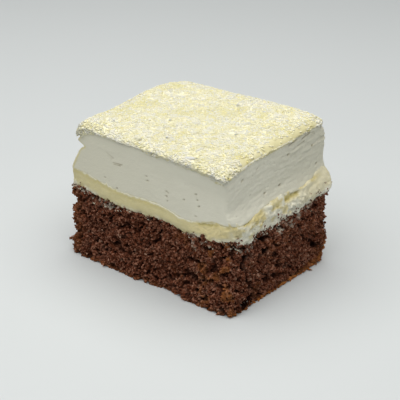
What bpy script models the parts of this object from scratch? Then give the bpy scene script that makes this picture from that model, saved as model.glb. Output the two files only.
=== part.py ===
"""A cut square of layered cake: chocolate sponge, custard, cream and a coconut topping.

Each layer is a box cut into a lattice, whose vertices are moved onto the layer's real form.
Units are metres and +Z is up. The origin is at the middle of the flat base.
The front is the long cut face towards -Y, and the right end is the short cut face towards +X.
"""

import math

import bmesh
import bpy

# Driving dimensions: the sponge's plan, and the height of each layer's top above the base
LENGTH = 0.0700
WIDTH = 0.0500
SPONGE_TOP = 0.0245
CUSTARD_TOP = 0.0302
CREAM_TOP = 0.0478
TOPPING_RIM = 0.0007
TOPPING_HEAP = 0.0010
TOPPING_BACK_HEAP = 0.0005
TOPPING_LEFT_HEAP = 0.0011
TOPPING_CORNER_HEAP = 0.0020
TOPPING_CORNER_FALL = 0.0015
TOPPING_WORN_CORNER = 0.0009

# Lattice of each layer, and the gap between touching layers
LAYER_GAP = 0.0003
COLUMNS = 25
ROWS = 18
SPONGE_STEPS = 9
CUSTARD_STEPS = 3
CREAM_STEPS = 5
TOPPING_STEPS = 2
END_CROWDING = 0.65

# Swells of the layers' tops along the cut faces: height, middle and reach of each
FADE_DEPTH = 0.012
SPONGE_FRONT_SWELLS = ((0.0014, -0.0315, 0.005), (-0.0011, 0.015, 0.005), (0.0009, 0.031, 0.005))
SPONGE_RIGHT_SWELLS = ((-0.0013, -0.019, 0.004), (0.0014, 0.022, 0.013))
CUSTARD_FRONT_SWELLS = ((0.0017, -0.033, 0.011), (-0.0024, 0.0152, 0.0078), (0.0009, 0.0285, 0.005))
CUSTARD_RIGHT_SWELLS = ((0.0012, -0.026, 0.005), (0.0025, -0.001, 0.012), (0.0034, 0.025, 0.013))
INNER_WAVE = 0.0004

# Form of the cream's top
CREAM_RISE = 0.0015
CREAM_TILT = 0.0007
CORNER_DROP = 0.0014
CORNER_DROP_REACH = 0.006
TOPPING_MOUND = 0.00022

# How the outline changes with height
LEFT_END_LEAN = 0.0046
LEFT_END_BACK_LEAN = 0.55
LEFT_NOTCH_DEPTH = 0.0018
LEFT_NOTCH_HEIGHT = 0.0414
LEFT_NOTCH_REACH = 0.0012
LEFT_LIP_DEPTH = 0.0011
LEFT_LIP_HEIGHT = 0.0431
LEFT_LIP_REACH = 0.0008
LEFT_END_TORN = ((0.0014, 0.0142, 0.0027), (0.0022, 0.0032, 0.0022), (-0.0012, 0.0189, 0.0017),
                 (0.0012, 0.0160, 0.0011), (-0.0010, 0.0064, 0.0012))
RIGHT_END_TORN = ((0.0012, 0.0090, 0.0050), (0.0008, 0.0265, 0.0013))
RIGHT_END_STEP = 0.0029
FRONT_STEP = 0.0006
FRONT_OVERHANG = 0.0012
BACK_OVERHANG = 0.0027
FOOT_FLARE = 0.0017
FACE_WAVE = 0.0003

# Side relief of the layers
SPONGE_LUMP = 0.0007
CUSTARD_BULGE = 0.0007
TOPPING_LIP = 0.0004

# Radii of the four upright corners
FRONT_CORNER_FOOT = 0.0026
FRONT_CORNER_SHOULDER = 0.0075
CREAM_FRONT_CORNER = 0.0014
FRONT_LEFT_FOOT = 0.0026
END_CORNER = 0.0010
FRONT_LEFT_RIM = 0.0022
BACK_RIGHT_RIM = 0.0044
BACK_CORNER = 0.0058
BACK_RIGHT_FOOT = 0.0026
BACK_RIM_CORNER = 0.0080


def ramp(value, low, high):
    """Smooth step from 0 at low to 1 at high."""
    t = min(max((value - low) / (high - low), 0.0), 1.0)
    return t * t * (3.0 - 2.0 * t)


def bell(value, middle, reach):
    """Bell-shaped bump of height 1."""
    return math.exp(-(((value - middle) / reach) ** 2))


def swells(value, bumps):
    """Sum of bell-shaped bumps, each given as height, middle and reach."""
    return sum(height * bell(value, middle, reach) for height, middle, reach in bumps)


def mix(first, second, share):
    """Straight blend from first to second."""
    return first + (second - first) * share


def layer_top(x, y, height, front_swells, right_swells, wave):
    """Top of a soft layer: its swells show on the front and right faces and fade inwards."""
    front = swells(x, front_swells) * math.exp(-(y + WIDTH / 2) / FADE_DEPTH)
    right = swells(y, right_swells) * math.exp(-(LENGTH / 2 - x) / FADE_DEPTH)
    inner = INNER_WAVE * math.sin(wave * x) * math.sin(1.2 * wave * y + 0.5)
    return height + front + right + inner


def sponge_level(x, y):
    """Height of the sponge's top: it rises at the ends and sags right of the middle."""
    return layer_top(x, y, SPONGE_TOP, SPONGE_FRONT_SWELLS, SPONGE_RIGHT_SWELLS, 170.0)


def custard_level(x, y):
    """Height of the custard's top: lowest right of the middle, high at both ends."""
    return layer_top(x, y, CUSTARD_TOP, CUSTARD_FRONT_SWELLS, CUSTARD_RIGHT_SWELLS, 150.0)


def cream_level(x, y):
    """Height of the cream's top: it climbs to the back right and drops at the front corners."""
    climb = 0.5 * ramp(y, -WIDTH / 2, -0.006) + 0.5 * ramp(y, -0.002, WIDTH / 2)
    tilt = x / (LENGTH / 2) * ramp(y, -0.015, 0.020)
    ends = abs(x / (LENGTH / 2)) ** (8 if x > 0.0 else 5)
    corners = ends * bell(y, -WIDTH / 2, CORNER_DROP_REACH)
    return CREAM_TOP + CREAM_RISE * climb + CREAM_TILT * tilt - CORNER_DROP * corners


def topping_level(x, y):
    """Height of the heaped topping: it thins at its rim and at the back right corner, and is
    fullest on the left and at the front left corner, whose tip falls away, with small mounds."""
    rim = max(abs(x) / (LENGTH / 2), abs(y) / (WIDTH / 2))
    mounds = math.sin(640.0 * x + 2.0 * math.sin(300.0 * y)) * math.sin(590.0 * y + 1.1)
    heap = TOPPING_HEAP * (1.0 - rim ** 12) + TOPPING_MOUND * mounds * (1.0 - 0.6 * rim)
    back_left = ramp(x, -0.018, -0.031) * ramp(y, 0.012, 0.024)
    back = TOPPING_BACK_HEAP * (ramp(y, 0.0, 0.020) - 0.8 * back_left)
    left = TOPPING_LEFT_HEAP * ramp(x, -0.020, -0.033) * bell(y, 0.006, 0.013)
    corner = TOPPING_CORNER_HEAP * ramp(x, -0.022, -0.034) * ramp(y, -0.010, -0.024)
    tip = math.hypot(x + LENGTH / 2, y + WIDTH / 2)
    fallen = TOPPING_CORNER_FALL * bell(tip, 0.0, 0.003)
    worn = TOPPING_WORN_CORNER * ramp(x, 0.024, 0.034) * ramp(y, 0.014, 0.025)
    return cream_level(x, y) + TOPPING_RIM + heap + back + left + corner - fallen - worn


def left_face(y, z):
    """X of the left end: the cream leans in, with a notch and a lip under the topping."""
    lean = ramp(z, 0.031, 0.042) * mix(1.0, LEFT_END_BACK_LEAN, ramp(y, -0.020, 0.016))
    notch = LEFT_NOTCH_DEPTH * bell(z, LEFT_NOTCH_HEIGHT, LEFT_NOTCH_REACH) * ramp(y, 0.0, -0.020)
    lip = LEFT_LIP_DEPTH * bell(z, LEFT_LIP_HEIGHT, LEFT_LIP_REACH) * ramp(y, -0.012, -0.022)
    torn = swells(z, LEFT_END_TORN) * ramp(y, -0.010, -0.022)
    return -LENGTH / 2 - FACE_WAVE + LEFT_END_LEAN * lean + notch - lip - torn


def right_face(y, z):
    """X of the right end: the cream stands back from the sponge, whose back foot is proud."""
    step = RIGHT_END_STEP * ramp(z, mix(0.029, 0.0278, ramp(y, 0.0, 0.022)), 0.0366)
    torn = swells(z, RIGHT_END_TORN) * ramp(y, 0.012, 0.024)
    return LENGTH / 2 - step + torn + 0.7 * FACE_WAVE * math.sin(170.0 * y)


def front_face(x, z):
    """Y of the front: the cream stands a little proud, most at the right, and the foot flares."""
    overhang = FRONT_OVERHANG * ramp(z, 0.040, 0.047) * ramp(x, -0.020, 0.033)
    foot = FOOT_FLARE * ramp(z, 0.010, 0.0) * (1.0 - 0.8 * bell(x, 0.008, 0.006))
    step = FRONT_STEP * ramp(z, 0.0225, 0.0265)
    return -WIDTH / 2 - step - overhang - foot + 0.7 * FACE_WAVE * math.sin(160.0 * x)


def back_face(x, z):
    """Y of the back: nearly upright, with the cream proud of the sponge."""
    overhang = BACK_OVERHANG * ramp(z, 0.024, 0.030)
    return WIDTH / 2 + FACE_WAVE + overhang + FACE_WAVE * math.sin(150.0 * x)


def corner_radius(u, v, z):
    """Radius of the upright corner in the quarter of the slice that holds (u, v)."""
    if u > 0.0 and v < 0.0:
        sponge_corner = mix(FRONT_CORNER_FOOT, FRONT_CORNER_SHOULDER, ramp(z, 0.004, 0.022))
        return mix(sponge_corner, CREAM_FRONT_CORNER, ramp(z, 0.0265, 0.0345))
    if u < 0.0 and v > 0.0:
        return mix(BACK_CORNER, BACK_RIM_CORNER, ramp(z, 0.046, 0.050))
    if v > 0.0:
        back_right = mix(BACK_RIGHT_FOOT, END_CORNER, ramp(z, 0.0005, 0.0050))
        return mix(back_right, BACK_RIGHT_RIM, ramp(z, 0.046, 0.049))
    upper_corner = mix(END_CORNER, FRONT_LEFT_RIM, ramp(z, 0.046, 0.049))
    return mix(FRONT_LEFT_FOOT, upper_corner, ramp(z, 0.018, 0.025))


def round_corner(u, v, radius):
    """Pull the square's corner in to an arc; u and v run from -1 to 1 across the slice."""
    inset_u = LENGTH / 2 - radius
    inset_v = WIDTH / 2 - radius
    over_u = abs(u) * LENGTH / 2 - inset_u
    over_v = abs(v) * WIDTH / 2 - inset_v
    if over_u <= 0.0 or over_v <= 0.0:
        return u, v
    pull = max(over_u, over_v) / math.hypot(over_u, over_v)
    rounded_u = (inset_u + over_u * pull) / (LENGTH / 2)
    rounded_v = (inset_v + over_v * pull) / (WIDTH / 2)
    return math.copysign(rounded_u, u), math.copysign(rounded_v, v)


def place(u, v, z, bulge):
    """Point of the slice at plan position (u, v) and height z, pushed outwards by bulge."""
    u, v = round_corner(u, v, corner_radius(u, v, z))
    x_flat = u * LENGTH / 2
    y_flat = v * WIDTH / 2
    x = mix(left_face(y_flat, z), right_face(y_flat, z), (u + 1.0) / 2.0)
    y = mix(front_face(x_flat, z), back_face(x_flat, z), (v + 1.0) / 2.0)
    return x + bulge * u, y + bulge * v, z


def sponge_lump(u, v, share):
    """Uneven torn crumb on the sponge's sides, none at the base and the top."""
    along = u * LENGTH / 2 - v * WIDTH / 2
    broad = math.sin(330.0 * along + 1.7 * math.sin(6.4 * share)) * math.sin(6.1 * share + 0.8)
    fine = math.sin(770.0 * along + 2.4 * math.sin(10.0 * share)) * math.sin(12.7 * share)
    return SPONGE_LUMP * (0.6 * broad + 0.4 * fine) * math.sin(math.pi * share)


def custard_bulge(u, v, share):
    """Soft filling pressed out between the layers, least at the left end."""
    left_end = 0.9 * ramp(u, -0.7, -1.0)
    front = 0.5 * ramp(-v, 0.8, 1.0) * ramp(-u, -0.9, -0.7)
    return CUSTARD_BULGE * (1.0 - left_end - front) * math.sin(math.pi * share ** 0.75)


def clean_cut(u, v, share):
    """The cream is cut clean, so its sides have no relief."""
    return 0.0


def topping_lip(u, v, share):
    """The heaped topping reaches a little past the cream it lies on."""
    return TOPPING_LIP * math.sin(math.pi * min(share + 0.15, 1.0))


def base_level(x, y):
    """The flat base."""
    return 0.0


def above(level):
    """Underside of a layer: one gap above the layer below."""
    return lambda x, y: level(x, y) + LAYER_GAP


def cut_positions(count):
    """Cuts between -1 and 1, closer together towards both ends."""
    steps = [2.0 * index / count - 1.0 for index in range(1, count)]
    return [mix(step, math.sin(math.pi / 2 * step), END_CROWDING) for step in steps]


def cut_box(height_steps):
    """A box from -1 to 1 in u and v and from 0 to 1 in height, cut into a lattice."""
    mesh = bmesh.new()
    bmesh.ops.create_cube(mesh, size=2.0)
    for vertex in mesh.verts:
        vertex.co.z = (vertex.co.z + 1.0) / 2.0
    cuts = [((u, 0.0, 0.0), (1.0, 0.0, 0.0)) for u in cut_positions(COLUMNS)]
    cuts += [((0.0, v, 0.0), (0.0, 1.0, 0.0)) for v in cut_positions(ROWS)]
    cuts += [((0.0, 0.0, step / height_steps), (0.0, 0.0, 1.0)) for step in range(1, height_steps)]
    for point, normal in cuts:
        everything = list(mesh.verts) + list(mesh.edges) + list(mesh.faces)
        bmesh.ops.bisect_plane(mesh, geom=everything, dist=1e-7, plane_co=point, plane_no=normal)
    return mesh


def join_flat_base(mesh):
    """Merge the lattice of the underside into one flat face."""
    base = [face for face in mesh.faces if face.normal.z < -0.5]
    bmesh.ops.dissolve_faces(mesh, faces=base, use_verts=False)


def add_layer(name, height_steps, floor, ceiling, side_relief, material, collection):
    """One layer between two height functions, its sides pushed out by side_relief."""
    mesh = cut_box(height_steps)
    if floor is base_level:
        join_flat_base(mesh)
    for vertex in mesh.verts:
        u, v, share = vertex.co
        x_flat = u * LENGTH / 2
        y_flat = v * WIDTH / 2
        z = mix(floor(x_flat, y_flat), ceiling(x_flat, y_flat), share)
        vertex.co = place(u, v, z, side_relief(u, v, share))
    mesh.normal_update()
    data = bpy.data.meshes.new(name)
    mesh.to_mesh(data)
    mesh.free()
    data.materials.append(material)
    piece = bpy.data.objects.new(name, data)
    collection.objects.link(piece)
    return piece


def food_material(name, colour, roughness):
    """Principled material with the layer's colour."""
    material = bpy.data.materials.new(name)
    material.use_nodes = True
    shader = material.node_tree.nodes["Principled BSDF"]
    shader.inputs["Base Color"].default_value = (*colour, 1.0)
    shader.inputs["Roughness"].default_value = roughness
    return material


def centre_on_origin(pieces):
    """Shift the pieces so that the middle of their common box stands on the origin."""
    points = [vertex.co for piece in pieces for vertex in piece.data.vertices]
    middle_x = (min(p.x for p in points) + max(p.x for p in points)) / 2
    middle_y = (min(p.y for p in points) + max(p.y for p in points)) / 2
    for piece in pieces:
        for vertex in piece.data.vertices:
            vertex.co.x -= middle_x
            vertex.co.y -= middle_y


for old in list(bpy.data.objects):
    bpy.data.objects.remove(old, do_unlink=True)

cake = bpy.data.collections.new("chocolate_cream_slice")
bpy.context.scene.collection.children.link(cake)

sponge_brown = food_material("sponge_brown", (0.105, 0.045, 0.027), 0.90)
custard_yellow = food_material("custard_yellow", (0.80, 0.72, 0.44), 0.45)
cream_white = food_material("cream_white", (0.84, 0.81, 0.68), 0.50)
coconut_ivory = food_material("coconut_ivory", (0.88, 0.84, 0.62), 0.70)

layers = [
    add_layer("chocolate_sponge", SPONGE_STEPS, base_level, sponge_level, sponge_lump,
              sponge_brown, cake),
    add_layer("custard_layer", CUSTARD_STEPS, above(sponge_level), custard_level, custard_bulge,
              custard_yellow, cake),
    add_layer("cream_layer", CREAM_STEPS, above(custard_level), cream_level, clean_cut,
              cream_white, cake),
    add_layer("coconut_topping", TOPPING_STEPS, above(cream_level), topping_level, topping_lip,
              coconut_ivory, cake),
]
centre_on_origin(layers)
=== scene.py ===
"""A cut square of chocolate sponge with custard, set cream and a coconut topping, from the base up.

Lengths are metres and +Z is up. The cut front faces -Y and the cut right end faces +X.
"""
from itertools import product

import bpy
import numpy as np
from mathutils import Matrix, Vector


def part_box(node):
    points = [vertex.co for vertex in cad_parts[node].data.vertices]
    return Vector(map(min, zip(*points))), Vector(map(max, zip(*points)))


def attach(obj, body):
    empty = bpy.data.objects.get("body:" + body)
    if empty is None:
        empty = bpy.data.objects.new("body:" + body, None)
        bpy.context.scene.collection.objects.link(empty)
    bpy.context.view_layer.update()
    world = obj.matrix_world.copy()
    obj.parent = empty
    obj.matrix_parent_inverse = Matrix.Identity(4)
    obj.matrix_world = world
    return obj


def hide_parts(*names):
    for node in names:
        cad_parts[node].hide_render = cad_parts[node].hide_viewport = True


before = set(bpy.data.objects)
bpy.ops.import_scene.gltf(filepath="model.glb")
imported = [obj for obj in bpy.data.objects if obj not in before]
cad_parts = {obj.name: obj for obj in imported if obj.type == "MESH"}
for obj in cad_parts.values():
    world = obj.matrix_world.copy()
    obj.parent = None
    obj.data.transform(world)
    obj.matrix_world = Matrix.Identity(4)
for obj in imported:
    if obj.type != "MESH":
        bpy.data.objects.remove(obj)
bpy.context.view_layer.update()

# ---------------------------------------------------------------------------------------------
# Sponge. A dark chocolate sponge, baked as a thin sheet and torn a little by the knife, so that
# its sides are open crumb: clods of crumb between bubbles of every size. Its foot keeps a thin
# baked skin, and cream dragged down by the knife sits on the crumb just below the filling.
LENGTH = 0.0700
WIDTH = 0.0500
SPONGE_TOP = 0.0245
FADE_DEPTH = 0.012
INNER_WAVE = 0.0004
SPONGE_FRONT_SWELLS = ((0.0014, -0.0315, 0.005), (-0.0011, 0.015, 0.005), (0.0009, 0.031, 0.005))
SPONGE_RIGHT_SWELLS = ((-0.0013, -0.019, 0.004), (0.0014, 0.022, 0.013))
LEFT_END_LEAN = 0.0046
LEFT_END_BACK_LEAN = 0.55
LEFT_END_NOTCH = ((0.0018, 0.0414, 0.0012),)
LEFT_END_LIP = ((0.0011, 0.0431, 0.0008),)
LEFT_END_TORN = ((0.0014, 0.0142, 0.0027), (0.0022, 0.0032, 0.0022), (-0.0012, 0.0189, 0.0017),
                 (0.0012, 0.0160, 0.0011), (-0.0010, 0.0064, 0.0012))
RIGHT_END_TORN = ((0.0012, 0.0090, 0.0050), (0.0008, 0.0265, 0.0013))
RIGHT_END_STEP = 0.0029
FRONT_STEP = 0.0006
FRONT_OVERHANG = 0.0012
BACK_OVERHANG = 0.0027
FOOT_FLARE = 0.0017
FACE_WAVE = 0.0003
SPONGE_LUMP = 0.0007
FRONT_CORNER_FOOT = 0.0026
FRONT_CORNER_SHOULDER = 0.0075
CREAM_FRONT_CORNER = 0.0014
FRONT_LEFT_FOOT = 0.0026
END_CORNER = 0.0010
RIM_CORNER = 0.0022
BACK_CORNER = 0.0058
BACK_RIGHT_FOOT = 0.0026
BACK_RIM_CORNER = 0.0080
COLUMNS = 864
SPONGE_ROWS = 96


def ramp(value, low, high):
    """Smooth step: the share t of the way from low to high, held in 0 to 1, as 3t^2 - 2t^3."""
    t = np.clip((value - low) / (high - low), 0.0, 1.0)
    return t * t * (3.0 - 2.0 * t)


def bell(value, middle, reach):
    """Bell-shaped bump of height 1: e to the minus squared distance over the reach."""
    return np.exp(-(((value - middle) / reach) ** 2))


def swells(value, bumps):
    """Sum of bell-shaped bumps, each given as height, middle and reach."""
    return sum(height * bell(value, middle, reach) for height, middle, reach in bumps)


def mix(first, second, share):
    """Straight blend from first to second."""
    return first + (second - first) * share


def layer_top(x, y, height, front_swells, right_swells, wave):
    """Top of a layer: swells along the front and right faces die out inwards, over a low wave."""
    front = swells(x, front_swells) * np.exp(-(y + WIDTH / 2) / FADE_DEPTH)
    right = swells(y, right_swells) * np.exp(-(LENGTH / 2 - x) / FADE_DEPTH)
    inner = INNER_WAVE * np.sin(wave * x) * np.sin(1.2 * wave * y + 0.5)
    return height + front + right + inner


def sponge_level(x, y):
    """Height of the sponge's top."""
    return layer_top(x, y, SPONGE_TOP, SPONGE_FRONT_SWELLS, SPONGE_RIGHT_SWELLS, 170.0)


def base_level(x, y):
    """Height of the flat base."""
    return 0.0 * x


def left_face(y, z):
    """X of the left end: upright sponge, cream that leans in, a notch and a lip near its top."""
    lean = ramp(z, 0.031, 0.042) * mix(1.0, LEFT_END_BACK_LEAN, ramp(y, -0.020, 0.016))
    notch = swells(z, LEFT_END_NOTCH) * ramp(y, 0.0, -0.020)
    lip = swells(z, LEFT_END_LIP) * ramp(y, -0.012, -0.022)
    torn = swells(z, LEFT_END_TORN) * ramp(y, -0.010, -0.022)
    return -LENGTH / 2 - FACE_WAVE + LEFT_END_LEAN * lean + notch - lip - torn


def right_face(y, z):
    """X of the right end: it steps in from sponge to cream, with a low wave along it."""
    step = RIGHT_END_STEP * ramp(z, mix(0.029, 0.0278, ramp(y, 0.0, 0.022)), 0.0366)
    torn = swells(z, RIGHT_END_TORN) * ramp(y, 0.012, 0.024)
    return LENGTH / 2 - step + torn + 0.7 * FACE_WAVE * np.sin(170.0 * y)


def front_face(x, z):
    """Y of the front: the cream stands proud to the right, and the foot flares."""
    overhang = FRONT_OVERHANG * ramp(z, 0.040, 0.047) * ramp(x, -0.020, 0.033)
    foot = FOOT_FLARE * ramp(z, 0.010, 0.0) * (1.0 - 0.8 * bell(x, 0.008, 0.006))
    step = FRONT_STEP * ramp(z, 0.0225, 0.0265)
    return -WIDTH / 2 - step - overhang - foot + 0.7 * FACE_WAVE * np.sin(160.0 * x)


def back_face(x, z):
    """Y of the back: nearly upright, with the cream proud of the sponge."""
    overhang = BACK_OVERHANG * ramp(z, 0.024, 0.030)
    return WIDTH / 2 + FACE_WAVE + overhang + FACE_WAVE * np.sin(150.0 * x)


def corner_radius(u, v, z):
    """Radius of the upright corner nearest (u, v): broad at the back left and in front."""
    sponge_corner = mix(FRONT_CORNER_FOOT, FRONT_CORNER_SHOULDER, ramp(z, 0.004, 0.022))
    front_right = mix(sponge_corner, CREAM_FRONT_CORNER, ramp(z, 0.0265, 0.0345))
    rim_corner = np.where(v > 0.0, 2.0, 1.0) * RIM_CORNER
    foot_corner = np.where(v > 0.0, BACK_RIGHT_FOOT, END_CORNER)
    other = mix(foot_corner, END_CORNER, ramp(z, 0.0005, 0.0050))
    other = mix(other, rim_corner, ramp(z, 0.046, 0.049))
    front_left = mix(FRONT_LEFT_FOOT, other, ramp(z, 0.018, 0.025))
    back_left = mix(BACK_CORNER, BACK_RIM_CORNER, ramp(z, 0.046, 0.050))
    front = np.where(u > 0.0, front_right, front_left)
    return np.where(v < 0.0, front, np.where(u < 0.0, back_left, other))


def place(u, v, z, bulge):
    """Points at plan position (u, v), each from -1 to 1, and height z, pushed out by bulge.

    Past the start of a corner's arc the point is pulled in along the arc's radius, and then it
    is spread between the left and right faces and between the front and back faces.
    """
    radius = corner_radius(u, v, z)
    over_u = np.abs(u) * LENGTH / 2 - (LENGTH / 2 - radius)
    over_v = np.abs(v) * WIDTH / 2 - (WIDTH / 2 - radius)
    outside = (over_u > 0.0) & (over_v > 0.0)
    pull = np.maximum(over_u, over_v) / np.maximum(np.hypot(over_u, over_v), 1e-9)
    round_u = np.sign(u) * (LENGTH / 2 - radius + over_u * pull) / (LENGTH / 2)
    round_v = np.sign(v) * (WIDTH / 2 - radius + over_v * pull) / (WIDTH / 2)
    u = np.where(outside, round_u, u)
    v = np.where(outside, round_v, v)
    x_flat = u * LENGTH / 2
    y_flat = v * WIDTH / 2
    x = mix(left_face(y_flat, z), right_face(y_flat, z), (u + 1.0) / 2.0)
    y = mix(front_face(x_flat, z), back_face(x_flat, z), (v + 1.0) / 2.0)
    return np.stack([x + bulge * u, y + bulge * v, z + 0.0 * x], axis=-1)


def once_round(columns):
    """(u, v) once round the slice in equal steps, from the middle of the back by the left end."""
    step = (np.arange(columns) / columns * 2.0 * (LENGTH + WIDTH) + LENGTH / 2) % (2.0 * (LENGTH + WIDTH))
    ends = np.array([0.0, LENGTH, LENGTH + WIDTH, 2.0 * LENGTH + WIDTH, 2.0 * (LENGTH + WIDTH)])
    u = np.interp(step, ends, [1.0, -1.0, -1.0, 1.0, 1.0])
    v = np.interp(step, ends, [1.0, 1.0, -1.0, -1.0, 1.0])
    return u, v


def outwards(points):
    """Outward direction at every point of a wall: the step along it crossed with the step up it."""
    along = np.roll(points, -1, axis=1) - np.roll(points, 1, axis=1)
    up = np.gradient(points, axis=0)
    normal = np.cross(along, up)
    return normal / np.maximum(np.linalg.norm(normal, axis=-1, keepdims=True), 1e-12)


def chance(cell, seed):
    """Repeatable random share for each whole-numbered cell: primes, shifts and a cut to 24 bits."""
    mixed = (cell[..., 0] * 73856093) ^ (cell[..., 1] * 19349663) ^ (cell[..., 2] * 83492791)
    mixed = (mixed ^ (seed * 2654435761)) & 0xFFFFFFFF
    for turn in range(2):
        mixed = (((mixed >> 16) ^ mixed) * 0x45D9F3B) & 0xFFFFFFFF
    mixed = (mixed >> 16) ^ mixed
    return (mixed & 0xFFFFFF) / 16777216.0


def unevenness(points, size, seed, finer=1):
    """Smooth random relief from about -1 to 1: chances at the cells' corners, blended by smooth
    steps, with each finer turn at half the size and half the height."""
    total = 0.0
    for turn in range(finer):
        spot = points / (size * 0.5 ** turn)
        cell = np.floor(spot).astype(np.int64)
        part = spot - cell
        part = part * part * (3.0 - 2.0 * part)
        for corner in product((0, 1), repeat=3):
            weight = np.prod(np.where(corner, part, 1.0 - part), axis=-1)
            value = 2.0 * chance(cell + np.array(corner), seed + 31 * turn) - 1.0
            total = total + 0.5 ** turn * weight * value
    return total


def shaken_points(points, height, size, seeds, finer=1):
    """Points moved unevenly by up to the height: each axis by its own seed, or all by one."""
    return points + height * np.stack([unevenness(points, size, seed, finer) for seed in seeds], axis=-1)


def clods(points, size, seed):
    """Rounded clods with cracks between them: the gap between the distances to the nearest and
    the second nearest of points scattered one to a cell, from 0 in a crack to about 1."""
    cell = np.floor(points / size).astype(np.int64)
    nearest = np.full(points.shape[:-1], 9.0)
    second = nearest.copy()
    for step in product((-1, 0, 1), repeat=3):
        near = cell + np.array(step)
        middle = near + np.stack([chance(near, seed + turn) for turn in range(3)], axis=-1)
        distance = np.linalg.norm(points / size - middle, axis=-1)
        second = np.minimum(second, np.maximum(distance, nearest))
        nearest = np.minimum(nearest, distance)
    return second - nearest


def bubble_depth(points, normal, size, smallest, largest, share, seed):
    """Depth to which bubbles open the wall: one bubble to a cell, of a random place and radius,
    and each point goes inwards until it leaves the sphere that it is in."""
    cell = np.floor(points / size).astype(np.int64)
    depth = np.zeros(points.shape[:-1])
    for step in product((-1, 0, 1), repeat=3):
        near = cell + np.array(step)
        middle = (near + np.stack([chance(near, seed + turn) for turn in range(3)], axis=-1)) * size
        radius = mix(smallest, largest, chance(near, seed + 3) ** 2)
        radius = np.where(chance(near, seed + 4) < share, radius, 0.0)
        away = points - middle
        along = -np.sum(away * normal, axis=-1)
        inside = radius ** 2 - np.sum(away * away, axis=-1)
        reach = -along + np.sqrt(np.maximum(along ** 2 + inside, 0.0))
        depth = np.maximum(depth, np.where(inside > 0.0, reach, 0.0))
    return depth


def near_line(points, ends, reach):
    """1 on the straight line between two ends and 0 further than about its reach from it."""
    start, stop = np.array(ends[:3]), np.array(ends[3:])
    share = np.clip(((points - start) @ (stop - start)) / np.sum((stop - start) ** 2), 0.0, 1.0)
    gap = np.linalg.norm(points - start - share[..., None] * (stop - start), axis=-1)
    return np.exp(-((gap / reach) ** 2))


def closing_rows(edge, shares, level):
    """Rows that close a wall: (u, v) shrunk to each share and put at the level. How far the
    wall's edge stands off that surface fades out inwards."""
    u, v = once_round(len(edge))
    shares = np.array(shares)[:, None]
    rows = place(shares * u, shares * v, level(shares * u * LENGTH / 2, shares * v * WIDTH / 2), 0.0)
    stand_off = edge - place(u, v, level(u * LENGTH / 2, v * WIDTH / 2), 0.0)
    return rows + stand_off * np.clip(shares * 4.0 - 3.0, 0.0, 1.0)[..., None]


def closed(wall, floor, ceiling, below=(0.3, 0.7, 0.95), above=(0.95, 0.7, 0.3)):
    """The wall with the rows that close it below and above, shrunk to the given shares."""
    return np.concatenate([closing_rows(wall[0], below, floor), wall,
                           closing_rows(wall[-1], above, ceiling)])


def middle_of(node):
    """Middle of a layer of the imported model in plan."""
    low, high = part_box(node)
    return np.array([(low.x + high.x) / 2, (low.y + high.y) / 2])


def strip_map(row_count, columns):
    """Flat map of a layer: its wall as four strips, one above the other, with the triangles that
    close it in the margins of the strips."""
    strip = columns // 4
    column = np.arange(columns)
    left, right = column % strip / strip, (column % strip + 1) / strip
    middle = (left + right) / 2
    up = 0.02 + 0.96 * np.arange(row_count)[:, None] / (row_count + 1)
    kinds = (((left, up[:-1]), (right, up[:-1]), (right, up[1:]), (left, up[1:])),
             ((left, up[0]), (middle, 0.01), (right, up[0])),
             ((left, up[-1]), (right, up[-1]), (middle, 0.99)))
    maps = [np.stack([np.stack(np.broadcast_arrays(across, (column // strip + lift) / 4), axis=-1)
                      for across, lift in corners], axis=-2) for corners in kinds]
    return np.concatenate([corners.reshape(-1, 2) for corners in maps])


def add_piece(name, points, faces, smooth, marks, flat_map, material):
    """A piece of the slice. marks are values of its surface, one for each point."""
    points[..., :2] += SLICE_MIDDLE
    data = bpy.data.meshes.new(name)
    data.from_pydata(points.reshape(-1, 3), [], faces)
    data.polygons.foreach_set("use_smooth", np.full(len(data.polygons), smooth))
    for mark, values in marks.items():
        attribute = data.attributes.new(mark, "FLOAT", "POINT")
        attribute.data.foreach_set("value", values.astype(np.float32))
    data.uv_layers.new(name="OFBake").data.foreach_set("uv", flat_map.ravel())
    data.materials.append(material)
    piece = bpy.data.objects.new(name, data)
    bpy.context.scene.collection.objects.link(piece)
    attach(piece, "root")
    return piece


def add_layer(name, rows, marks, material, node):
    """Closed layer: rows of points once round the slice, from a middle below to one above. Marks
    given for the wall alone are 0 on the rows that close it."""
    row_count, columns = rows.shape[:2]
    numbers = np.arange(row_count * columns).reshape(row_count, columns)
    after = np.roll(numbers, -1, axis=1)
    quads = np.stack([numbers[:-1], after[:-1], after[1:], numbers[1:]], axis=-1).reshape(-1, 4)
    below = np.stack([numbers[0], np.full(columns, numbers.size), after[0]], axis=-1)
    above = np.stack([numbers[-1], after[-1], np.full(columns, numbers.size + 1)], axis=-1)
    points = np.concatenate([rows.reshape(-1, 3), rows[[0, -1]].mean(axis=1)])
    full_marks = {}
    for mark, values in marks.items():
        spare = (row_count - len(values)) // 2
        full_marks[mark] = np.append(np.pad(values, ((spare, spare), (0, 0))), np.zeros(2))
    piece = add_piece(name, points, quads.tolist() + below.tolist() + above.tolist(), True, full_marks,
                      strip_map(row_count, columns), material)
    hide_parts(node)


def add_node(tree, kind, settings, inputs):
    """Outputs of a new node with its own settings. Each of its inputs is given an output to link,
    a colour or a number."""
    node = tree.nodes.new(kind)
    for name, value in settings.items():
        setattr(node, name, value)
    for socket, value in inputs.items():
        if isinstance(value, bpy.types.NodeSocket):
            tree.links.new(value, node.inputs[socket])
        else:
            node.inputs[socket].default_value = (*value, 1.0) if isinstance(value, tuple) else value
    return node.outputs


def reckon(tree, operation, first, second):
    """Arithmetic on two numbers or the outputs that give them."""
    return add_node(tree, "ShaderNodeMath", {"operation": operation}, {0: first, 1: second})[0]


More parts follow.
